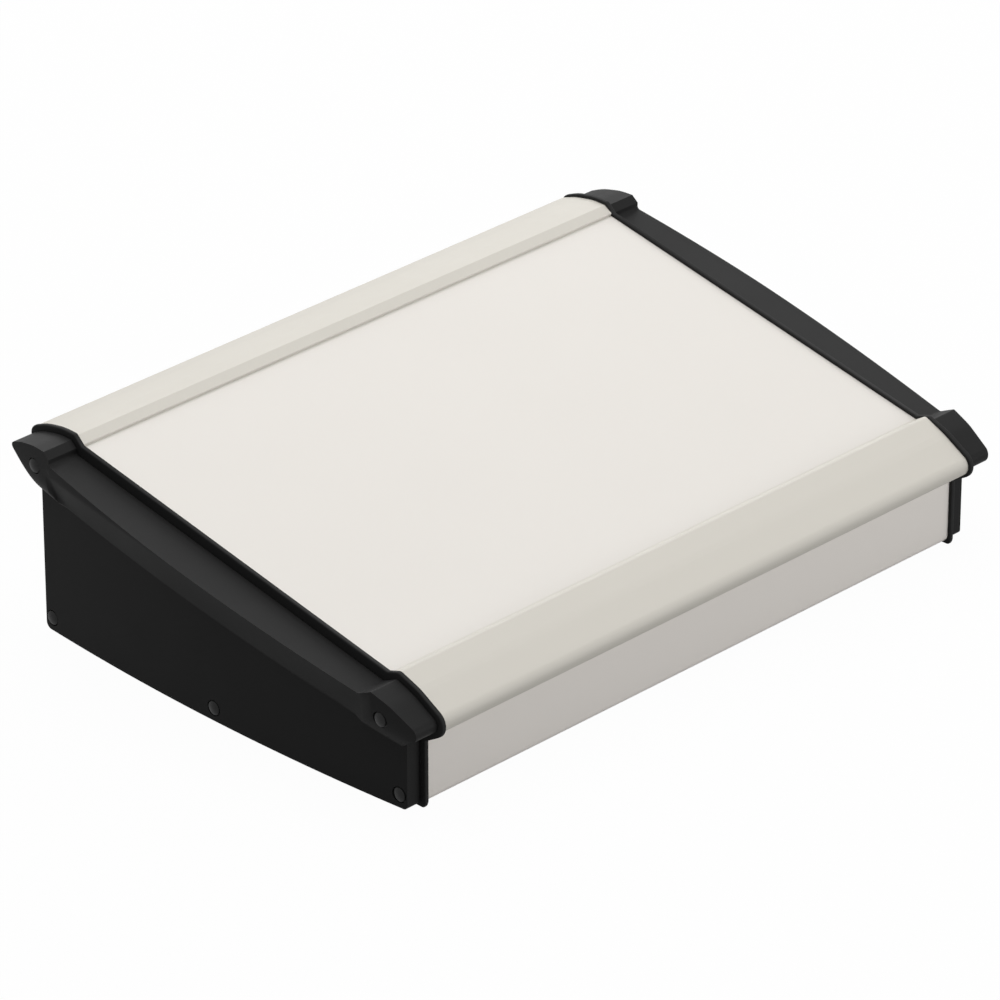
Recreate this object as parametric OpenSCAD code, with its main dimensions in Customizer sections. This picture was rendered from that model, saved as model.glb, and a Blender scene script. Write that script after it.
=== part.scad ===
// Sloping desk console enclosure: two aluminium extrusions, closed at both ends
// by moulded caps on rubber seals. The section is drawn as (y, z) points with y = 0
// on the front wall's outer face and z = 0 on the floor's underside.

/* [Extrusions] */
// Length that the profiles are cut to
profile_length = 300; // [160:10:420]
// Wall of both profiles
wall = 2.5; // [2:0.1:3]
// Height of the front wall, up to the front hood's undercut
front_wall_height = 27; // [24:0.5:34]
// Outer depth from the front wall to the rear wall
base_depth = 208.5; // [190:0.5:260]
// Height of the rear wall, up to the rear hood's undercut
rear_wall_height = 62.7; // [60:0.1:70]
// Slope of the operating panel, in degrees
panel_slope = 10.4; // [9:0.1:11.5]
// Height of the panel plane above the floor, where it would meet the front wall
panel_height = 43.9; // [42.5:0.1:46]
// Radius of the front hood's nose
nose_radius = 4.8; // [3.5:0.1:5.5]
// Radius of the rear hood's tip
tip_radius = 2.4; // [1.5:0.1:3]
// Clearance in the tongue and groove joint between the two profiles
joint_clearance = 0.3; // [0.15:0.05:0.4]

/* [End caps] */
// Reach of a cap's outer face beyond its seal, at the middle of the panel's edge
cap_reach = 17.1; // [15:0.1:22]
// Plan radius of the bulged outer face
face_radius = 1005; // [800:5:1500]
// Lean of the outer face, in towards the floor, in degrees
face_lean = 2.86; // [1:0.01:4]
// Wall of the moulded caps
cap_wall = 2.6; // [2:0.1:3.2]
// Step of the cap's side behind the outer face of the extrusion
cap_step = 0.5; // [0.2:0.1:1]
// Drop of the ledge between the hoods, below the panel
ledge_drop = 3; // [1.5:0.1:4]
// Width of the shadow groove beside the seal
groove_width = 0.8; // [0.5:0.1:1.2]
// Depth of the shadow groove beside the seal
groove_depth = 1.6; // [1:0.1:2]

/* [Seals] */
// Thickness of a seal between cap and profile
seal_thickness = 4.8; // [2:0.1:6]
// Height that the seal stands proud of the profile, all round
seal_proud = 1.35; // [0.8:0.05:2]

/* [Screws and plugs] */
// Core radius of the screws' thread, in the profile
screw_core_radius = 1.75; // [1.5:0.05:2]
// Clearance round the screw in the profile's channel
channel_clearance = 0.05; // [0.03:0.01:0.1]
// Outer radius of the screw channels in the profiles
channel_radius = 4; // [3.5:0.1:4.4]
// Radius of the pan heads
head_radius = 3.4; // [3:0.1:3.6]
// Height of the pan heads
head_height = 2.4; // [2:0.1:3]
// Length of a screw's shank in the profile
screw_grip = 14; // [10:0.5:20]
// Radius of the counterbores over the screws
counterbore_radius = 3.8; // [3.6:0.1:4.2]
// Radius of the plugs' domed button
button_radius = 3.2; // [2.8:0.1:3.3]

/* [Feet] */
// Radius of a stick-on foot
foot_radius = 9; // [6:0.5:12]
// Height of a stick-on foot
foot_height = 3.5; // [2.5:0.1:6]
// Distance of the feet from the ends of the profile
foot_inset = 28; // [20:1:50]

/* [Hidden] */
$fn = 48;
tiny = 0.01;

half_length = profile_length / 2;
seal_outer = half_length + seal_thickness;
face_x_mid = seal_outer + cap_reach;
middle_y = base_depth / 2;
rise = tan(panel_slope);
face_yaw = atan(tan(face_lean) * rise);

// Height of the panel plane at a depth y
function panel_z(y) = panel_height + rise * y;

// Position of the bulged outer face of the right-hand cap at a point of the section
function face_x(y, z) = face_x_mid - pow(y - middle_y, 2) / (2 * face_radius)
    + tan(face_lean) * (z - panel_z(middle_y) + ledge_drop) - tan(face_yaw) * (y - middle_y);

// ---- Outlines: points are [y, z, corner radius], listed anticlockwise ----

function unit(v) = v / norm(v);
function left_of(v) = [-v.y, v.x];
function flat_point(p) = [p.x, p.y];
function before(path, i) = flat_point(path[(i + len(path) - 1) % len(path)]);
function after(path, i) = flat_point(path[(i + 1) % len(path)]);
function side_of(a, b) = a.x * b.y - a.y * b.x;

// The path moved inwards by a distance, or outwards by a negative one
function inset(path, distance) = [for (i = [0 : len(path) - 1])
    let (corner = flat_point(path[i]),
         into = unit(corner - before(path, i)),
         out = unit(after(path, i) - corner),
         miter = (left_of(into) + left_of(out)) / (1 + into * out),
         turn = side_of(into, out) > 0 ? -1 : 1,
         moved = corner + distance * miter)
    [moved.x, moved.y, max(path[i][2] + turn * distance, 0)]];

// The points of a path with its corners turned into arcs
function rounded(path, step = 7) = [for (i = [0 : len(path) - 1])
    let (corner = flat_point(path[i]),
         into = unit(corner - before(path, i)),
         out = unit(after(path, i) - corner),
         turn = side_of(into, out) > 0 ? 1 : -1,
         angle = acos(max(min(into * out, 1), -1)),
         radius = path[i][2],
         centre = corner - into * radius * tan(angle / 2) + turn * radius * left_of(into),
         start = atan2(into.y, into.x) - 90 * turn,
         pieces = radius > tiny ? max(ceil(angle / step), 1) : 0)
    each pieces == 0 ? [corner]
        : [for (k = [0 : pieces]) centre + radius * [cos(start + turn * angle * k / pieces),
                                                     sin(start + turn * angle * k / pieces)]]];

// Front hood: undercut, nose, face and crest, down to the surface behind it
nose = [-14.6, front_wall_height + 9.1, nose_radius];
face_break = [3.4, front_wall_height + 19.2, 26];
front_crest = [14.2, front_wall_height + 23.8, 2.2];
// Rear hood: facet, crest, domed top and tip
facet_foot_y = base_depth - 13.3;
rear_crest = [base_depth - 9.1, rear_wall_height + 20.9, 0.5];
rear_dome = [base_depth - 2, rear_wall_height + 20.9, 26];
rear_fall = [base_depth + 8, rear_wall_height + 18.9, 30];
rear_tip = [base_depth + 19.6, rear_wall_height + 14.6, tip_radius];

// The section's outline; the surface between the hoods lies a given drop below the panel
function hooded(bed_foot_y, bed_top_y, drop, lip) = concat(
    [[0, 0, 0.8], [base_depth, 0, 4], [base_depth, rear_wall_height, 0.4],
     rear_tip, rear_fall, rear_dome, rear_crest],
    lip,
    [[bed_top_y, panel_z(bed_top_y) - drop, 0.4], [bed_foot_y, panel_z(bed_foot_y) - drop, 1.2],
     front_crest, face_break, nose, [0, front_wall_height, 0.6]]);

section_path = hooded(19.3, facet_foot_y, 0, []);
lipped_path = hooded(19.3, facet_foot_y + 1.1, 0,
    [[facet_foot_y - 0.3, panel_z(facet_foot_y) + 1.2, 0.5]]);
cap_path = hooded(20.8, facet_foot_y + 0.6, ledge_drop, [[facet_foot_y - 0.2, panel_z(facet_foot_y), 0.4]]);

// Rim of a cap's open side, measured in from the profile's outline, and a boss's wall
cap_rim = groove_depth + cap_wall - 0.6;
boss_wall = 1.8;

outline_ys = [for (p = rounded(inset(section_path, -seal_proud))) p.x];
centre_y = (min(outline_ys) + max(outline_ys)) / 2;

// ---- Screws: [y, z] of each, the same at both ends ----

low_z = channel_radius + 1.8;
low_inset = channel_radius + 2;
rear_top = [base_depth - 1.5, rear_wall_height + 10.6];
front_top = [8.4, front_wall_height + 12];
rear_low = [base_depth - low_inset, low_z];
middle_low = [middle_y, low_z];
front_low = [low_inset, low_z];
TOP_SCREWS = [rear_top, front_top];
LOW_SCREWS = [rear_low, middle_low, front_low];
SCREWS = concat(TOP_SCREWS, LOW_SCREWS);
channel_core = screw_core_radius + channel_clearance;
shank_radius = screw_core_radius + 0.25;
clearance_radius = shank_radius + 0.25;
seat_x = seal_outer + 3;
plug_skirt_radius = counterbore_radius - 0.05;

// ---- Shared operations ----

// Puts the section's frame onto the centre of the feet's ground plane
module placed() {
    translate([0, -centre_y, foot_height]) children();
}

// Extrudes a (y, z) outline along X
module along_x(start, length) {
    translate([start, 0, 0]) rotate([90, 0, 90]) linear_extrude(length) children();
}

module at_screws(points) {
    for (p = points) translate(p) children();
}

// Makes the left-hand copy of a right-hand piece
module on_side(side) {
    mirror([side == "left" ? 1 : 0, 0, 0]) children();
}

// ---- Extruded profiles ----

tongue_thick = 2;
tongue_height = 6;
tongue_gap = wall + joint_clearance;

// Wall and tongue of the base at one joint; the outer face is at y = 0
module joint_tongue(height) {
    translate([0, height - 7]) square([tongue_gap + tongue_thick, 7]);
    translate([tongue_gap, height - 1]) square([tongue_thick, tongue_height + 1]);
}

// Groove ribs of the top profile at one joint; the outer face is at y = 0
module joint_groove(height) {
    inner = tongue_gap + tongue_thick + joint_clearance;
    roof = tongue_height + joint_clearance;
    difference() {
        translate([0, height]) square([inner + 2, roof + 2.4]);
        translate([wall, height - 1]) square([inner - wall, roof + 1]);
    }
    translate([inner, height - 1]) square([2, 2]);
}

// Pair of ribs that holds a board's edge, standing in from y = 0
module card_guide(height) {
    for (z = [height, height + 3.4]) translate([0, z]) square([2.6, 1.4]);
}

module base_section() {
    difference() {
        union() {
            polygon(rounded([[0, 0, 0.8], [base_depth, 0, 4], [base_depth, rear_wall_height, 0],
                [base_depth - wall, rear_wall_height, 0], [base_depth - wall, wall, 1.5],
                [wall, wall, 1.5], [wall, front_wall_height, 0], [0, front_wall_height, 0]]));
            joint_tongue(front_wall_height);
            translate([base_depth, 0]) mirror([1, 0]) joint_tongue(rear_wall_height);
            at_screws(LOW_SCREWS) circle(channel_radius);
            at_screws([middle_low]) translate([-1.5, wall / 2 - low_z]) square([3, low_z - wall / 2]);
            translate([wall - tiny, 0]) card_guide(12);
            translate([base_depth - wall + tiny, 0]) mirror([1, 0]) card_guide(12);
        }
        at_screws(LOW_SCREWS) circle(channel_core);
    }
}

module top_section() {
    difference() {
        union() {
            difference() {
                polygon(rounded(lipped_path));
                polygon(rounded(inset(section_path, wall)));
                translate([-tiny, -5]) square([base_depth / 2, front_wall_height + 5]);
                translate([base_depth * 0.7, -5]) square([base_depth * 0.3 + tiny, rear_wall_height + 5]);
                translate([-tiny, -5]) square([base_depth + 1, 15]);
            }
            joint_groove(front_wall_height);
            translate([base_depth, 0]) mirror([1, 0]) joint_groove(rear_wall_height);
            at_screws(TOP_SCREWS) circle(channel_radius);
            at_screws([rear_top]) translate([-1, 0]) square([2, rear_crest.y - rear_top.y - wall / 2]);
            at_screws([rear_top]) translate([-1, tongue_height + 2.4 - 10.6]) square([2, 6]);
            at_screws([front_top]) rotate(28) translate([-1, 0]) square([2, 7.5]);
        }
        at_screws(TOP_SCREWS) circle(channel_core);
    }
}

module base_profile() {
    color("#d3cec6") placed() along_x(-half_length, profile_length) base_section();
}

module top_profile() {
    color("#e4e0d8") placed() along_x(-half_length, profile_length) top_section();
}

// ---- Seals ----

module seal(side) {
    color("#1c1c1c") placed() on_side(side) along_x(half_length, seal_thickness) difference() {
        union() {
            difference() {
                polygon(rounded(inset(section_path, -seal_proud)));
                polygon(rounded(inset(cap_path, cap_rim)));
            }
            at_screws(SCREWS) circle(channel_radius + 0.6);
            at_screws([rear_top]) translate([-2, 0]) square([4, rear_crest.y - rear_top.y - wall / 2]);
            at_screws([front_top]) rotate(28) translate([-2, 0]) square([4, 7.5]);
        }
        at_screws(SCREWS) circle(clearance_radius);
    }
}

// ---- End caps ----

// Everything behind the bulged outer face, or behind a face set back by a distance
module behind_face(set_back = 0) {
    translate([face_x_mid - set_back, middle_y, panel_z(middle_y) - ledge_drop])
        rotate([0, 0, face_yaw]) rotate([0, face_lean, 0]) translate([-face_radius, 0, 0])
            cylinder(r = face_radius, h = 400, center = true, $fn = 360);
}

// Cuts a vertical corner of the cap below a hood to an arc; the corner is at y = 0.
// The arc runs a little past both faces, so that it meets them at an angle.
module corner_cut(radius, x, height) {
    sunk = 0.9 * radius;
    translate([x, 0, -5]) rotate([0, face_lean, 0]) linear_extrude(height + 5) difference() {
        translate([-radius, -1]) square([radius + 5, radius + 1]);
        translate([-sunk, sunk]) circle(radius);
    }
}

front_corner_radius = 3.2;
rear_corner_radius = 1.6;

module cap_outside() {
    difference() {
        intersection() {
            along_x(seal_outer + groove_width, cap_reach + 5) polygon(rounded(inset(cap_path, cap_step)));
            behind_face();
        }
        translate([0, cap_step, 0])
            corner_cut(front_corner_radius, face_x(cap_step, -5), front_wall_height);
        translate([0, base_depth - cap_step, 0]) mirror([0, 1, 0])
            corner_cut(rear_corner_radius, face_x(base_depth, -5), rear_wall_height);
    }
}

// Hollow of a cap, round its screw bosses
module cap_hollow() {
    intersection() {
        along_x(seal_outer - 1, cap_reach + 5) difference() {
            polygon(rounded(inset(cap_path, cap_rim)));
            at_screws(SCREWS) circle(counterbore_radius + boss_wall);
        }
        behind_face(cap_wall);
    }
}

module end_cap(side) {
    color("#262626") placed() on_side(side) difference() {
        union() {
            cap_outside();
            along_x(seal_outer, groove_width + 1) polygon(rounded(inset(cap_path, groove_depth)));
        }
        cap_hollow();
        along_x(seal_outer - 1, 5) at_screws(SCREWS) circle(clearance_radius);
        along_x(seat_x, cap_reach + 5) at_screws(SCREWS) circle(counterbore_radius);
    }
}

// ---- Fasteners ----

// Pan-head screw lying along X, with its head's seat at x = 0
module cap_screw() {
    reach = seat_x - half_length;
    rotate([0, 90, 0]) difference() {
        union() {
            translate([0, 0, -reach - screw_grip]) cylinder(r = screw_core_radius, h = screw_grip + 1);
            translate([0, 0, -reach]) cylinder(r = shank_radius, h = reach);
            cylinder(r1 = head_radius, r2 = head_radius - 0.6, h = head_height);
        }
        translate([0, 0, head_height - 1.5]) cylinder(r = 1.5, h = 2, $fn = 6);
    }
}

module cap_screws(side) {
    color("#9a9a9a") placed() on_side(side)
        for (p = SCREWS) translate([seat_x, p.x, p.y]) cap_screw();
}

// Domed cover plug in a counterbore, with its rim at the outer face
module plug(side, p) {
    color("#2c2c2c") placed() on_side(side) translate([face_x(p.x, p.y), p.x, p.y]) rotate([0, 90, 0]) {
        translate([0, 0, -2.9]) cylinder(r = plug_skirt_radius, h = 2);
        rotate_extrude() intersection() {
            translate([0, -1]) square([button_radius, 1.4]);
            translate([0, 0.4 - 3 * button_radius]) circle(3 * button_radius, $fn = 96);
        }
    }
}

// Stick-on foot with a rounded lower edge
module foot(x_side, y_side) {
    y = y_side > 0 ? base_depth - foot_radius - 12 : foot_radius + 12;
    color("#303030") placed() translate([x_side * (half_length - foot_inset), y, -foot_height])
        rotate_extrude() difference() {
            square([foot_radius, foot_height]);
            difference() {
                translate([foot_radius - 1.2, -1]) square([2.2, 2.2]);
                translate([foot_radius - 1.2, 1.2]) circle(1.2);
            }
        }
}

base_profile();
top_profile();
seal("left");  // left_seal
seal("right");  // right_seal
end_cap("left");  // left_end_cap
end_cap("right");  // right_end_cap
cap_screws("left");  // left_cap_screws
cap_screws("right");  // right_cap_screws
plug("left", rear_top);  // left_rear_top_plug
plug("left", front_top);  // left_front_top_plug
plug("left", rear_low);  // left_rear_low_plug
plug("left", middle_low);  // left_middle_low_plug
plug("left", front_low);  // left_front_low_plug
plug("right", rear_top);  // right_rear_top_plug
plug("right", front_top);  // right_front_top_plug
plug("right", rear_low);  // right_rear_low_plug
plug("right", middle_low);  // right_middle_low_plug
plug("right", front_low);  // right_front_low_plug
foot(-1, -1);  // front_left_foot
foot(1, -1);  // front_right_foot
foot(-1, 1);  // rear_left_foot
foot(1, 1);  // rear_right_foot
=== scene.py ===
"""Sloping desk console enclosure: a painted extruded aluminium tray and top, closed at each end
by a gasket and a moulded cap that five screws pull against the section."""
import math

import bmesh
import bpy
import numpy as np
from mathutils import Matrix, Vector


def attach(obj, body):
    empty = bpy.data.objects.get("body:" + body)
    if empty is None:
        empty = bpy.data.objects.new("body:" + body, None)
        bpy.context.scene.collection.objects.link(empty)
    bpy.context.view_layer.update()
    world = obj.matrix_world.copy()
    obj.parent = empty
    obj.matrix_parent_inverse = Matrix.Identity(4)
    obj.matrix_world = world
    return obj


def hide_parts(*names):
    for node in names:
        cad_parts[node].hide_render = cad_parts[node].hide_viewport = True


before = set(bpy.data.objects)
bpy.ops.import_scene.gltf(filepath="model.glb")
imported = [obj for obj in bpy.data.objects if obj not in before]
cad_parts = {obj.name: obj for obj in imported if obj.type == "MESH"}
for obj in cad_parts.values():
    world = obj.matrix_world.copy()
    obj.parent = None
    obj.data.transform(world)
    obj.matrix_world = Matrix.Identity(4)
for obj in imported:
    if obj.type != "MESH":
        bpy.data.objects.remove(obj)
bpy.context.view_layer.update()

# ---- Base tray ----
# The lower extrusion, an open aluminium tray with rounded lower edges, 300 mm long.
# It is powder coated in a warm light grey: an even, slightly waxy coat with a very fine orange peel. Its grey
# is written lighter than the top's same coat; this is painted light on the front wall.

MM = 0.001
section_y, section_z = -107.774, -0.3   # the section's own origin in the shared frame, in mm


def linear(hex_colour):
    """Turns an sRGB hex colour into linear red, green and blue with full alpha."""
    parts = [int(hex_colour[i:i + 2], 16) / 255 for i in (1, 3, 5)]
    return tuple(c / 12.92 if c <= 0.04045 else ((c + 0.055) / 1.055) ** 2.4 for c in parts) + (1.0,)


def add_node(tree, kind, links=(), **settings):
    """Adds one node, sets its properties and sockets by name, and makes its links.

    A link is (its own socket, the other node, the other node's socket).
    """
    node = tree.nodes.new(kind)
    for name, value in settings.items():
        if hasattr(node, name):
            setattr(node, name, value)
        else:
            node.inputs[name.replace("_", " ")].default_value = value
    for socket, other, output in links:
        tree.links.new(other.outputs[output], node.inputs[socket])
    return node


def limits(node, low, high, ends="To"):
    """Sets one pair of limits of a Map Range node."""
    node.inputs[ends + " Min"].default_value = low
    node.inputs[ends + " Max"].default_value = high


def new_material(name):
    """An empty node material and its tree."""
    material = bpy.data.materials.new(name)
    material.use_nodes = True
    material.node_tree.nodes.clear()
    return material, material.node_tree


def finish_node(node_name, material):
    """Gives a carried-over CAD node one material in all its slots."""
    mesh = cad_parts[node_name].data
    mesh.materials.clear()
    mesh.materials.append(material)


def inset(path, distance):
    """Moves a closed path of [y, z, corner radius] rows inwards by d.

    corner' = corner + d (n1 + n2) / (1 + t1 . t2), with t the sides' directions and n their left normals.
    """
    path = np.asarray(path, float)
    corner = path[:, :2]
    into = corner - np.roll(corner, 1, axis=0)
    into /= np.linalg.norm(into, axis=1, keepdims=True)
    out = np.roll(into, -1, axis=0)
    left_in, left_out = (np.column_stack([-v[:, 1], v[:, 0]]) for v in (into, out))
    miter = (left_in + left_out) / (1 + np.sum(into * out, axis=1, keepdims=True))
    turn = np.sign(into[:, 0] * out[:, 1] - into[:, 1] * out[:, 0])
    return np.column_stack([corner + distance * miter, np.maximum(path[:, 2] - turn * distance, 0)])


def rounded(path, step=5.0):
    """Turns each corner into an arc: p = centre + r (cos a, sin a), a swept by the corner's turning angle."""
    path = np.asarray(path, float)
    points = []
    for i, (y, z, radius) in enumerate(path):
        corner = np.array([y, z])
        into = corner - path[i - 1, :2]
        out = path[(i + 1) % len(path), :2] - corner
        into, out = into / np.linalg.norm(into), out / np.linalg.norm(out)
        turn = 1 if into[0] * out[1] - into[1] * out[0] > 0 else -1
        angle = math.acos(max(min(into @ out, 1), -1))
        left = np.array([-into[1], into[0]])
        centre = corner - into * radius * math.tan(angle / 2) + turn * radius * left
        start = math.atan2(into[1], into[0]) - turn * math.pi / 2
        sweep = start + turn * angle * np.linspace(0, 1, math.ceil(math.degrees(angle) / step) + 1)
        points.append(centre + radius * np.column_stack([np.cos(sweep), np.sin(sweep)]))
    return np.vstack(points)


def at_x(outline, x):
    """Puts a (y, z) outline in the section's millimetres at one x, as rows of x, y, z."""
    return np.column_stack([np.broadcast_to(x, len(outline)), outline])


def grid_faces(grid):
    """The quads of a (rows, columns, 3) grid of points."""
    return [[grid[i, j], grid[i + 1, j], grid[i + 1, j + 1], grid[i, j + 1]]
            for i in range(grid.shape[0] - 1) for j in range(grid.shape[1] - 1)]


def ring_faces(rows):
    """The quads of a (rows, columns, 3) grid whose columns close on themselves."""
    return grid_faces(np.concatenate([rows, rows[:, :1]], axis=1))


def new_piece(name, faces, material, nodes, side=1, smooth=35, soft_edge=0.0):
    """Welds faces given in section millimetres into one piece that stands for CAD nodes.

    side -1 mirrors it to the left; soft_edge rounds its sharp edges, in mm.
    """
    index, points, loops = {}, [], []
    for face in faces:
        loop = []
        for point in face:
            key = tuple(np.round(point, 4))
            if key not in index:
                index[key] = len(points)
                x, y, z = key
                points.append((side * x * MM, (y + section_y) * MM, (z + section_z) * MM))
            if index[key] not in loop:
                loop.append(index[key])
        if len(loop) > 2:
            loops.append(loop)
    mesh = bpy.data.meshes.new(name)
    mesh.from_pydata(points, [], loops)
    form = bmesh.new()
    form.from_mesh(mesh)
    bmesh.ops.recalc_face_normals(form, faces=form.faces)
    form.to_mesh(mesh)
    form.free()
    mesh.shade_smooth()
    mesh.set_sharp_from_angle(angle=math.radians(smooth))
    mesh.materials.append(material)
    piece = bpy.data.objects.new(name, mesh)
    bpy.context.scene.collection.objects.link(piece)
    if soft_edge:
        bevel = piece.modifiers.new("soft edges", "BEVEL")
        bevel.width, bevel.segments = soft_edge * MM, 2
        bevel.limit_method, bevel.angle_limit = "ANGLE", math.radians(smooth)
        bevel.harden_normals = True
    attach(piece, "root")
    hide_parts(*nodes)
    return piece


peel_width = 0.0006     # metres between the crests of the orange peel, drawn coarse enough to show
peel_height = 0.000006
drift_width = 0.05      # metres between patches of slightly duller and brighter coat
# The panel's colour fades into the hoods' painted shade over these widths.
front_fade, rear_fade = 0.001, 0.0004   # metres over which the panel's colour turns to the hoods'


def powder_coat(name, colour, hood_shade_colour=None, edges=(0, 0)):
    """Powder coat: satin polyester paint, a soft broad gloss and a barely visible orange peel.

    With a second colour, the coat turns to it in front of and behind the two depths given. On the top this is
    painted shade: it darkens the hoods, which carry the same coat as the panel.
    """
    material, tree = new_material(name)
    place = add_node(tree, "ShaderNodeTexCoord")
    whole = [("Vector", place, "Object")]
    peel = add_node(tree, "ShaderNodeTexNoise", whole, Scale=1 / peel_width, Detail=1.0)
    bump = add_node(tree, "ShaderNodeBump", [("Height", peel, "Fac")], Strength=0.35, Distance=peel_height)
    drift = add_node(tree, "ShaderNodeTexNoise", whole, Scale=1 / drift_width, Detail=2.0)
    satin = add_node(tree, "ShaderNodeMapRange", [("Value", drift, "Fac")])
    limits(satin, 0.5, 0.6)
    surface = [("Normal", bump, "Normal"), ("Roughness", satin, "Result")]
    shader = add_node(tree, "ShaderNodeBsdfPrincipled", surface, IOR=1.5)
    shader.inputs["Base Color"].default_value = linear(colour)
    # Painted shade: beyond the panel's two depths the hoods are darkened to a second colour.
    if hood_shade_colour:
        depth = add_node(tree, "ShaderNodeSeparateXYZ", whole)
        front = add_node(tree, "ShaderNodeMapRange", [("Value", depth, "Y")])
        rear = add_node(tree, "ShaderNodeMapRange", [("Value", depth, "Y")])
        limits(front, edges[0] + front_fade, edges[0], "From")
        limits(rear, edges[1], edges[1] + rear_fade, "From")
        both = [(0, front, "Result"), (1, rear, "Result")]
        share = add_node(tree, "ShaderNodeMath", both, operation="MAXIMUM")
        hood_shade_mix = add_node(tree, "ShaderNodeMix", [("Factor", share, "Value")], data_type="RGBA")
        socket = {item.identifier: item for item in hood_shade_mix.inputs}
        socket["A_Color"].default_value = linear(colour)
        socket["B_Color"].default_value = linear(hood_shade_colour)
        result = next(item for item in hood_shade_mix.outputs if item.identifier == "Result_Color")
        tree.links.new(result, shader.inputs["Base Color"])
    add_node(tree, "ShaderNodeOutputMaterial", [("Surface", shader, "BSDF")])
    return material


half_length = 150.0
tray_wall = 2.4
tray_bottom = 1.1
tray_front, tray_rear = 30.8, 66.5     # heights of the walls' upper edges, where the top sits on them
tray_depth = 208.5
front_radius, rear_radius = 3.2, 4.0
inner_radius = 1.5
inner_rear, tray_floor = tray_depth - tray_wall, tray_bottom + tray_wall
tray_path = [[0, tray_bottom, front_radius], [tray_depth, tray_bottom, rear_radius], [tray_depth, tray_rear, 0],
             [inner_rear, tray_rear, 0], [inner_rear, tray_floor, inner_radius],
             [tray_wall, tray_floor, inner_radius], [tray_wall, tray_front, 0], [0, tray_front, 0]]
tray_outline = rounded(tray_path)
tray_faces = ring_faces(np.stack([at_x(tray_outline, -half_length), at_x(tray_outline, half_length)]))
tray_faces += [at_x(tray_outline, x) for x in (-half_length, half_length)]
# Painted light: the tray's grey is lighter than the top's, to brighten the front wall.
lightened_tray_paint = powder_coat("powder_coat_tray", "#EFEAE4")
new_piece("base_tray", tray_faces, lightened_tray_paint, ["base_profile"])

# ---- Top ----
# The upper extrusion carries the recessed sloping panel between two rounded hoods.
# Its shape is the CAD solid's own. The hoods are painted a warmer, darker grey than the panel; this is painted
# shade, since the hoods and the panel carry one coat.

bed_foot, facet_foot = 19.3, 195.2      # depths at which the panel meets the front and the rear hood
panel_edges = ((bed_foot + section_y) * MM, (facet_foot + section_y) * MM)
# The second, darker colour is painted shade on the hoods, not a different coat.
top_paint = powder_coat("powder_coat_top", "#DCD8D2", "#CECAC1", panel_edges)
finish_node("top_profile", top_paint)

# ---- Gaskets ----
# A black rubber frame between each end of the section and its cap, standing proud all round
# with rounded edges, and lying flat on the ground along its lower side.

wall_depth, front_height, rear_height = 209.5, 31.0, 65.5   # the caps' and gaskets' section
panel_height, panel_rise = 47.7, math.tan(math.radians(10.4))
front_crest_y, front_rise = 13.4, 3.2                       # front hood's crest, its rise above the panel
brow_y, brow_drop, brow_radius = 3.4, 3.4, 26               # where the front hood starts to fall
nose_reach, nose_rise, nose_radius = 14.6, 8.9, 4.8         # front hood's nose, before the front wall
rear_crest_inset, rear_rise = 10.1, 3.1                     # rear hood's crest, its rise above the panel
dome_inset, dome_radius = 3, 26                             # the rear hood's top, then its fall to the tip
fall_reach, fall_drop, fall_radius = 6.5, 1.9, 30
tip_reach, tip_drop, tip_radius = 16.5, 6.3, 3.0
ledge_drop = 1.8                                            # of the caps' ledge below the panel's plane


def panel_z(y):
    """Height of the sloping panel's plane at a depth y."""
    return panel_height + panel_rise * y


def hooded(bed_foot_y, bed_top_y, drop, lip):
    """The section's outline as [y, z, radius] rows, with the bed between the hoods dropped below the panel."""
    rear_crest_y = wall_depth - rear_crest_inset
    front_crest_z = panel_z(front_crest_y) + front_rise
    rear_crest_z = panel_z(rear_crest_y) + rear_rise
    walls = [[0, 0, front_radius], [wall_depth, 0, rear_radius], [wall_depth, rear_height, 0.4]]
    rear_hood = [[wall_depth + tip_reach, rear_crest_z - tip_drop, tip_radius],
                 [wall_depth + fall_reach, rear_crest_z - fall_drop, fall_radius],
                 [wall_depth - dome_inset, rear_crest_z, dome_radius], [rear_crest_y, rear_crest_z, 0.5]]
    bed = [[bed_top_y, panel_z(bed_top_y) - drop, 0.4], [bed_foot_y, panel_z(bed_foot_y) - drop, 1.2]]
    front_hood = [[front_crest_y, front_crest_z, 2.2], [brow_y, front_crest_z - brow_drop, brow_radius],
                  [-nose_reach, front_height + nose_rise, nose_radius], [0, front_height, 0.6]]
    return walls + rear_hood + lip + bed + front_hood


section_path = hooded(bed_foot, facet_foot, 0, [])
ledge_lip = [[facet_foot - 0.2, panel_z(facet_foot), 0.4]]
cap_path = hooded(bed_foot + 1.5, facet_foot + 0.6, ledge_drop, ledge_lip)
flow_width = 0.03           # metres between flow marks
flow_change = 0.06          # by which they are duller or brighter


def moulded_plastic(name, colour, roughness, grain, depth, index=1.15):
    """Moulded plastic or rubber: dull, its spark-eroded grain scatters most of the gloss at low angles.

    The duller and brighter patches are flow marks from the mould, a few centimetres across.
    """
    material, tree = new_material(name)
    place = add_node(tree, "ShaderNodeTexCoord")
    whole = [("Vector", place, "Object")]
    pits = add_node(tree, "ShaderNodeTexNoise", whole, Scale=1 / grain, Detail=2.0)
    bump = add_node(tree, "ShaderNodeBump", [("Height", pits, "Fac")], Strength=0.5, Distance=depth)
    marks = add_node(tree, "ShaderNodeTexNoise", whole, Scale=1 / flow_width, Detail=3.0)
    dull = add_node(tree, "ShaderNodeMapRange", [("Value", marks, "Fac")])
    limits(dull, roughness - flow_change, roughness + flow_change)
    surface = [("Normal", bump, "Normal"), ("Roughness", dull, "Result")]
    shader = add_node(tree, "ShaderNodeBsdfPrincipled", surface, IOR=index)
    shader.inputs["Base Color"].default_value = linear(colour)
    add_node(tree, "ShaderNodeOutputMaterial", [("Surface", shader, "BSDF")])
    return material


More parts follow.
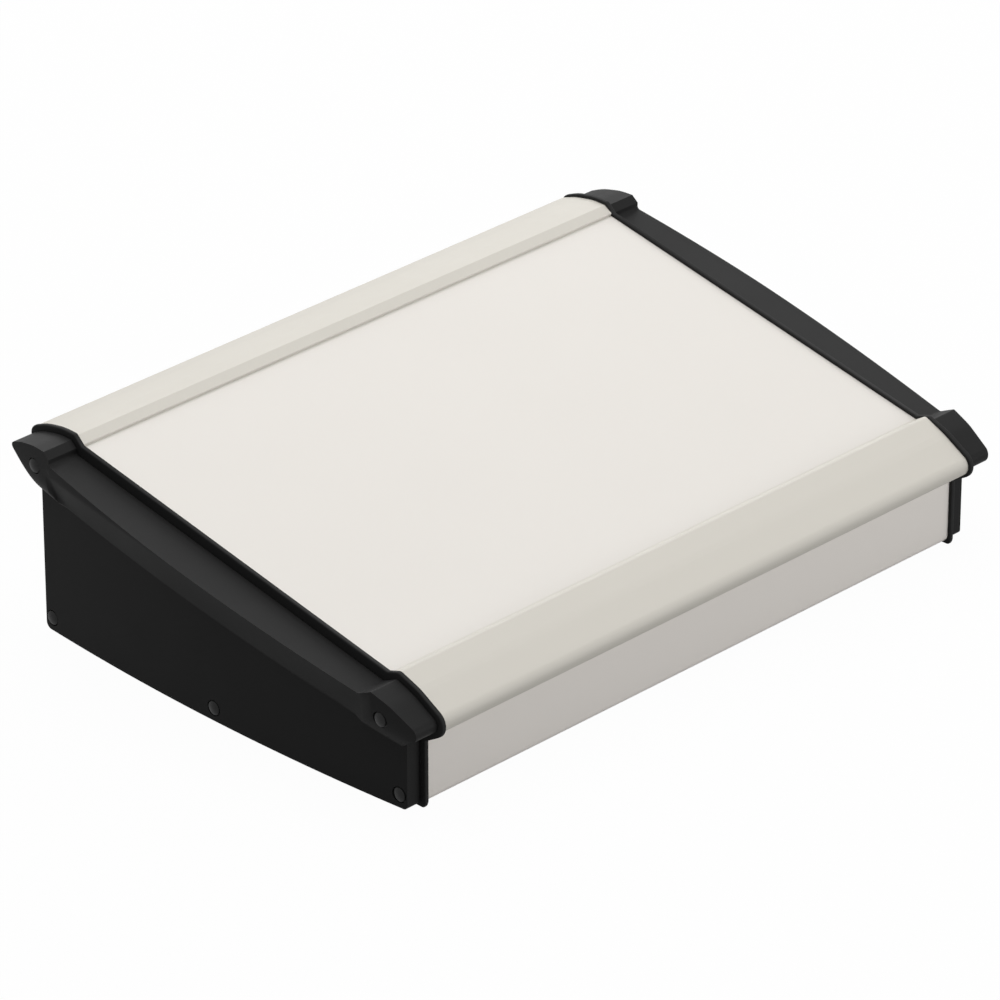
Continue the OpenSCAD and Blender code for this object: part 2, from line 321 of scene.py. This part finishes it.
seal_thickness, seal_proud, seal_round = 2.2, 1.4, 0.6
seal_lap = 4.6              # of the rubber behind the section's outline
seal_outer = half_length + seal_thickness
gasket_rubber = moulded_plastic("moulded_rubber_gasket", "#2B2B2B", 0.6, 0.0008, 0.00001)
turn = np.linspace(0, math.pi / 2, 5)
shrink = seal_round * (1 - np.sin(turn))
fall = seal_proud - seal_round * (1 - np.cos(turn))
near = list(zip(half_length + shrink, fall))[::-1]
far = list(zip(seal_outer - shrink, fall))
band = [(half_length, -seal_lap)] + near + far + [(seal_outer, -seal_lap), (half_length, -seal_lap)]
rows = np.stack([at_x(rounded(inset(section_path, -proud)), x) for x, proud in band])
rows[..., 2] = np.maximum(rows[..., 2], -section_z)
for side, sign in (("left", -1), ("right", 1)):
    new_piece(side + "_gasket", ring_faces(rows), gasket_rubber, [side + "_seal"], sign)

# ---- End caps ----
# Injection-moulded black caps with a fine spark-eroded grain. The lower plate is upright and bowed
# in plan; above a crease between the undercuts the face swells out in a cove to the ledge and the ears.

cap_step, groove_width, groove_depth = 1.2, 0.4, 2.2
spigot_lap = 0.2                            # of the groove's floor into the cap
middle_y = wall_depth / 2
plate_x, plate_bow = seal_outer + 13.0, 4.9
crease_step, flare = 0.4, 0.356             # flare is a lean, in mm a mm of height
plate_turn = 0.0115                         # the plate stands out a little more at its rear
ear_x, ear_bow, ear_lean, ear_level = 171.6, 5.9, 0.03, 65.0
ear_tuck, tuck_height = 3.4, 3.5            # how far an ear's foot tucks in, and how fast that fades
front_ear_turn = (4.0, 123.0, 45.0)         # depth, x and radius of the ears' rounded inner ends
rear_ear_turn = (wall_depth - 2.5, 148.0, 20.0)
ends_ease, flare_ease, ear_ease = 0.1, 0.8, 0.2
corner_band = 5.0                           # depth below an undercut that still belongs to an ear's corner
fine_rows, plate_rows, depth_steps = 25, 9, 25


def bowed(y, height):
    """Drop of an arc over the caps' depth c from its middle ym, h at the ends.

    drop = R - sqrt(R^2 - (y - ym)^2), with R = c^2 / 8h + h / 2.
    """
    radius = wall_depth ** 2 / (8 * height) + height / 2
    return radius - np.sqrt(radius ** 2 - (y - middle_y) ** 2)


def plate_face(y, z):
    """Lower plate, upright and bowed in plan: x = x0 + k (y - ym) - bow(y)."""
    return plate_x + plate_turn * (y - middle_y) - bowed(y, plate_bow)


def turned(y, depth, x, radius, way):
    """Plan of an ear's rounded inner end: x + sqrt(r^2 - d^2), with d the distance past its depth."""
    past = np.clip(way * (y - depth), 0, radius)
    return x + np.sqrt(radius ** 2 - past ** 2)


def eased(a, b, ease, sign):
    """Larger (sign 1) or smaller (sign -1) of a and b, eased: (a + b + sign sqrt((a - b)^2 + e^2)) / 2."""
    return (a + b + sign * np.sqrt((a - b) ** 2 + ease ** 2)) / 2


def rim_face(y, z):
    """Rim: x = min(ear, max(leaning, ear ends)), eased.

    leaning = plate + step + flare h and ear = arc + lean - tuck exp(-h / fade), h the height above the crease.
    """
    above = z - (front_height + (rear_height - front_height) * y / wall_depth)
    leaning = plate_face(y, z) + crease_step + flare * np.maximum(above, 0)
    tuck = ear_tuck * np.exp(-np.maximum(above, 0) / tuck_height)
    ear = ear_x - bowed(y, ear_bow) + ear_lean * (z - ear_level) - tuck
    ends = eased(turned(y, *front_ear_turn, 1), turned(y, *rear_ear_turn, -1), ends_ease, 1)
    return eased(ear, eased(leaning, ends, flare_ease, 1), ear_ease, -1)


def columns(chain, ys):
    """Heights of a (y, z) chain at the depths ys."""
    return np.interp(ys, chain[:, 0], chain[:, 1])


def face_grid(ys, low, high, rows, face):
    """Grid of a face between two rows of heights: z = low + v (high - low), x = face(y, z)."""
    v = np.linspace(0, 1, rows)[:, None]
    z = low + v * (high - low)
    y = np.broadcast_to(ys, z.shape)
    return np.stack([face(y, z), y, z], axis=-1)


def cap_faces():
    """All faces of a right-hand cap: the bowed plate, the crease, the rim, the ears, the sides and the back."""
    outline = rounded(inset(cap_path, cap_step))
    nose, tip = np.argmin(outline[:, 0]), np.argmax(outline[:, 0])
    upper = outline[tip:nose + 1][::-1]
    lower = np.vstack([outline[nose:], outline[:tip + 1]])
    y0, y1 = cap_step, wall_depth - cap_step
    front_lower = lower[lower[:, 0] < middle_y]
    rear_lower = lower[lower[:, 0] > middle_y]
    ear_corner = front_lower[front_lower[:, 0] <= y0 + 1e-6]
    ear_corner = ear_corner[ear_corner[:, 1] > front_height - corner_band]
    tip_corner = rear_lower[rear_lower[:, 0] >= y1 - 1e-6]
    tip_corner = tip_corner[tip_corner[:, 1] > rear_height - corner_band]
    between = (lower[:, 0] >= y0 - 1e-6) & (lower[:, 0] <= y1 + 1e-6)
    body_lower = lower[between & (lower[:, 1] < front_height - corner_band)]
    faces = []
    x_back = seal_outer + groove_width

    def depths(*chains, ends):
        """The chains' own depths and an even share between two ends."""
        ys = np.concatenate([chain[:, 0] for chain in chains] + [np.linspace(*ends, depth_steps)])
        ys = np.unique(np.round(ys[(ys >= ends[0]) & (ys <= ends[1])], 3))
        return np.unique(np.concatenate([[ends[0]], ys, [ends[1]]]))

    ys = depths(ear_corner, upper, ends=(lower[0, 0], y0))
    ear = face_grid(ys, columns(ear_corner, ys), columns(upper, ys), fine_rows, rim_face)
    ys = depths(tip_corner, upper, ends=(y1, lower[-1, 0]))
    tail = face_grid(ys, columns(tip_corner, ys), columns(upper, ys), fine_rows, rim_face)
    ys = depths(body_lower, upper, ends=(y0, y1))
    ys = ys[(ys > y0 + 1e-3) & (ys < y1 - 1e-3)]
    ys = np.concatenate([[y0], ys, [y1]])
    crease = np.interp(ys, [y0, y1], [ear[0, -1, 2], tail[0, 0, 2]])
    plate = face_grid(ys, columns(body_lower, ys), crease, plate_rows, plate_face)
    rim = face_grid(ys, crease, columns(upper, ys), fine_rows, rim_face)
    shelf = np.stack([plate[-1], rim[0]])
    for grid in (ear, tail, plate, rim, shelf):
        faces += grid_faces(grid)

    def wall_faces(edge):
        """The wall from an edge of the face to the cap's back."""
        back = edge.copy()
        back[:, 0] = x_back
        return grid_faces(np.stack([back, edge]))

    front_wall = wall_faces(ear[0])
    last = front_wall[-1]
    front_wall[-1] = np.array([*last[:2], plate[-1, 0], *last[2:]])     # joins the top of the plate
    lower_edges = [plate[::-1, 0], plate[0], plate[:, -1]]
    upper_edges = [tail[-1, ::-1], rim[-1, ::-1], ear[-1, ::-1]]
    faces += front_wall
    for edge in [tail[0]] + lower_edges + upper_edges:
        faces += wall_faces(edge)
    loop = np.vstack([ear[0]] + lower_edges + [tail[0]] + upper_edges)
    loop[:, 0] = x_back
    faces.append(loop)
    spigot = rounded(inset(cap_path, groove_depth))
    ends = [at_x(spigot, x) for x in (seal_outer, x_back + spigot_lap)]
    return faces, ring_faces(np.stack(ends)) + ends


cap_plastic = moulded_plastic("moulded_abs_cap", "#252525", 0.5, 0.0005, 0.00001)
shell_faces, spigot_faces = cap_faces()

# ---- Screws and plugs ----
# Zinc-plated pan-head screws in counterbores, five to a cap, and a domed nylon plug pressed in over each.
# A plug's button leaves a narrow ring of the bore open round it; its skirt fills the bore behind.

low_z, low_inset = 6.9, 5.3
button_radius, bore_radius, seat_x = 3.0, 3.5, seal_outer + 2.6
bore_length = 30.0                                    # well past the cap's face
axis_radius = 0.05                                    # closes a turned form just short of its axis
button_dome, button_rise = 9.0, 0.5                   # radius of the button's dome, its rise over the face
PLACES = {"rear_top": (207.2, 76.8, rim_face),        # depth, height and face of each bore
          "front_top": (9.4, 41.0, rim_face),
          "rear_low": (wall_depth - low_inset, low_z, plate_face),
          "middle_low": (middle_y, low_z, plate_face),
          "front_low": (low_inset, low_z, plate_face)}


def revolved(profile, place, segments=48):
    """Faces of a profile of (radius, x) rows turned about an axis along x through (x, y, z)."""
    angle = np.linspace(0, 2 * math.pi, segments, endpoint=False)
    around = np.column_stack([np.zeros(segments), np.cos(angle), np.sin(angle)])
    rows = [np.array(place) + [x, 0, 0] + r * around for r, x in profile]
    return ring_faces(np.stack(rows)) + [rows[0], rows[-1]]


def bored(piece, faces, side):
    """Cuts bores, given as faces in section millimetres, out of a piece and keeps the cut mesh."""
    cutter = new_piece("bores", faces, cap_plastic, [], side)
    cut = piece.modifiers.new("bores", "BOOLEAN")
    cut.operation, cut.solver, cut.object = "DIFFERENCE", "EXACT", cutter
    while piece.modifiers[0] != cut:
        piece.modifiers.move(len(piece.modifiers) - 1, 0)
    shaped = piece.evaluated_get(bpy.context.evaluated_depsgraph_get())
    mesh = bpy.data.meshes.new_from_object(shaped)
    piece.modifiers.clear()
    piece.data = mesh
    bpy.data.objects.remove(cutter)


bores = []
for y, z, _ in PLACES.values():
    bore = [(axis_radius, 0), (bore_radius, 0), (bore_radius, bore_length), (axis_radius, bore_length)]
    bores += revolved(bore, (seat_x, y, z))
for side, sign in (("left", -1), ("right", 1)):
    cap = new_piece(side + "_cap", shell_faces, cap_plastic, [side + "_end_cap"], sign,
                    smooth=30, soft_edge=0.4)
    bored(cap, bores, sign)
    new_piece(side + "_cap_spigot", spigot_faces, cap_plastic, [], sign)

plug_plastic = moulded_plastic("moulded_nylon_plug", "#242424", 0.35, 0.0008, 0.000005, 1.3)
turning_width = 0.0004      # metres between the turning marks

def zinc_plate(name):
    """Bright zinc plate: a metal with fine turning marks that break up its gloss."""
    material, tree = new_material(name)
    place = add_node(tree, "ShaderNodeTexCoord")
    whole = [("Vector", place, "Object")]
    marks = add_node(tree, "ShaderNodeTexNoise", whole, Scale=1 / turning_width, Detail=3.0)
    dull = add_node(tree, "ShaderNodeMapRange", [("Value", marks, "Fac")])
    limits(dull, 0.25, 0.4)
    shader = add_node(tree, "ShaderNodeBsdfPrincipled", [("Roughness", dull, "Result")], Metallic=1.0)
    shader.inputs["Base Color"].default_value = linear("#B8B9B6")
    add_node(tree, "ShaderNodeOutputMaterial", [("Surface", shader, "BSDF")])
    return material


screw_steel = zinc_plate("zinc_plated_steel")
drive, crown, head, core = 1.4, 2.4, 3.1, 1.75         # radii of a screw, turned from its drive to its point
screw = [(axis_radius, 1.1), (drive, 1.1), (drive, 2.3), (crown, 2.3), (head, 1.3), (head, 0),
         (core, 0), (core, -18.4), (axis_radius, -18.8)]
foot_rubber = moulded_plastic("moulded_rubber_foot", "#151515", 0.7, 0.0008, 0.00001)
dome = [(r, button_rise - button_dome + math.sqrt(button_dome ** 2 - r * r))
        for r in np.linspace(axis_radius, button_radius, 9)]
button = dome + [(button_radius + 0.05, -0.6), (button_radius + 0.1, -0.9), (bore_radius, -0.9),
                 (bore_radius, -2.4), (axis_radius, -2.4)]
for side, sign in (("left", -1), ("right", 1)):
    for spot, (y, z, face) in PLACES.items():
        faces = revolved(button, (float(face(y, z)), y, z))
        new_piece(f"{side}_{spot}_cover", faces, plug_plastic, [f"{side}_{spot}_plug"], sign)
    shanks = [quad for y, z, _ in PLACES.values() for quad in revolved(screw, (seat_x, y, z), 32)]
    new_piece(side + "_pan_heads", shanks, screw_steel, [side + "_cap_screws"], sign)
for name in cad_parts:
    if name.endswith("_foot"):
        finish_node(name, foot_rubber)

# ---- Floor, light and camera ----
# A white sweep under a broad overhead softbox, with a lamp behind and one low in front of the tray.
# The room's fill grows from left to right, so the left-hand cap stays dark.

floor_mirror = 0.65         # share of the floor's white that glossy surfaces pick up
floor_white = 0.93          # share of plain white in the floor; the rest is matt and takes the shadow


def shown_white(tree, mirror=1.0):
    """1 for a camera or transmission ray, mirror for a glossy one and 0 for light that falls on the object."""
    rays = add_node(tree, "ShaderNodeLightPath")
    mirrored = add_node(tree, "ShaderNodeMath", [(0, rays, "Is Glossy Ray")], operation="MULTIPLY")
    mirrored.inputs[1].default_value = mirror
    either = [(0, rays, "Is Camera Ray"), (1, mirrored, "Value")]
    seen = add_node(tree, "ShaderNodeMath", either, operation="MAXIMUM")
    either = [(0, seen, "Value"), (1, rays, "Is Transmission Ray")]
    return add_node(tree, "ShaderNodeMath", either, operation="MAXIMUM")


floor_material, tree = new_material("white_floor")
white = [(0, shown_white(tree, floor_mirror), "Value")]
white_share = add_node(tree, "ShaderNodeMath", white, operation="MULTIPLY")
white_share.inputs[1].default_value = floor_white
matt = add_node(tree, "ShaderNodeBsdfDiffuse", Color=linear("#949494"))
glow = add_node(tree, "ShaderNodeEmission", Color=linear("#FFFFFF"), Strength=1.045)
layers = [(0, white_share, "Value"), (1, matt, "BSDF"), (2, glow, "Emission")]
mixed = add_node(tree, "ShaderNodeMixShader", layers)
add_node(tree, "ShaderNodeOutputMaterial", [("Surface", mixed, "Shader")])
floor_size = 12.0
corner = floor_size / 2
floor_mesh = bpy.data.meshes.new("floor")
floor_corners = [(-corner, -corner, 0), (corner, -corner, 0), (corner, corner, 0), (-corner, corner, 0)]
floor_mesh.from_pydata(floor_corners, [], [(0, 1, 2, 3)])
floor_mesh.materials.append(floor_material)
floor = bpy.data.objects.new("floor", floor_mesh)
bpy.context.scene.collection.objects.link(floor)

world = bpy.data.worlds.new("studio")
world.use_nodes = True
tree = world.node_tree
tree.nodes.clear()
direction = add_node(tree, "ShaderNodeTexCoord")
across = add_node(tree, "ShaderNodeSeparateXYZ", [("Vector", direction, "Generated")])
level = add_node(tree, "ShaderNodeMapRange", [("Value", across, "X")])
limits(level, -1.0, 1.0, "From")
limits(level, 0.08, 0.64)
fill = add_node(tree, "ShaderNodeBackground", [("Strength", level, "Result")], Color=linear("#FFFFFF"))
backdrop = add_node(tree, "ShaderNodeBackground", Color=linear("#FFFFFF"), Strength=1.0)
layers = [(0, shown_white(tree), "Value"), (1, fill, "Background"), (2, backdrop, "Background")]
mixed = add_node(tree, "ShaderNodeMixShader", layers)
add_node(tree, "ShaderNodeOutputWorld", [("Surface", mixed, "Shader")])
bpy.context.scene.world = world


def softbox(name, place, target, width, height, power):
    """A white area lamp at place that faces target."""
    lamp = bpy.data.lights.new(name, "AREA")
    lamp.shape = "RECTANGLE"
    lamp.size, lamp.size_y, lamp.energy = width, height, power
    holder = bpy.data.objects.new(name, lamp)
    aim = Vector(target) - Vector(place)
    holder.matrix_world = Matrix.Translation(place) @ aim.to_track_quat("-Z", "Y").to_matrix().to_4x4()
    bpy.context.scene.collection.objects.link(holder)


softbox("overhead", (0.0, 0.25, 1.75), (0, 0, 0), 1.8, 1.8, 22)
softbox("behind", (1.15, 1.15, 0.85), (0, 0, 0.05), 1.3, 0.9, 7.5)
softbox("front", (0.7, -1.6, 0.4), (0, 0, 0.03), 1.2, 0.7, 9.5)

camera_azimuth, camera_elevation = math.radians(-44.726), math.radians(28.211)
camera = bpy.data.cameras.new("camera")
camera.lens, camera.sensor_width = 246.716, 36.0
camera.clip_end = 50
holder = bpy.data.objects.new("camera", camera)
back = Vector((math.sin(camera_azimuth) * math.cos(camera_elevation),
               -math.cos(camera_azimuth) * math.cos(camera_elevation),
               math.sin(camera_elevation)))
camera_place = Vector((-1.73232, -1.74549, 1.35540))
holder.matrix_world = Matrix.Translation(camera_place) @ back.to_track_quat("Z", "Y").to_matrix().to_4x4()
bpy.context.scene.collection.objects.link(holder)
bpy.context.scene.camera = holder
bpy.context.scene.view_settings.view_transform = "Standard"
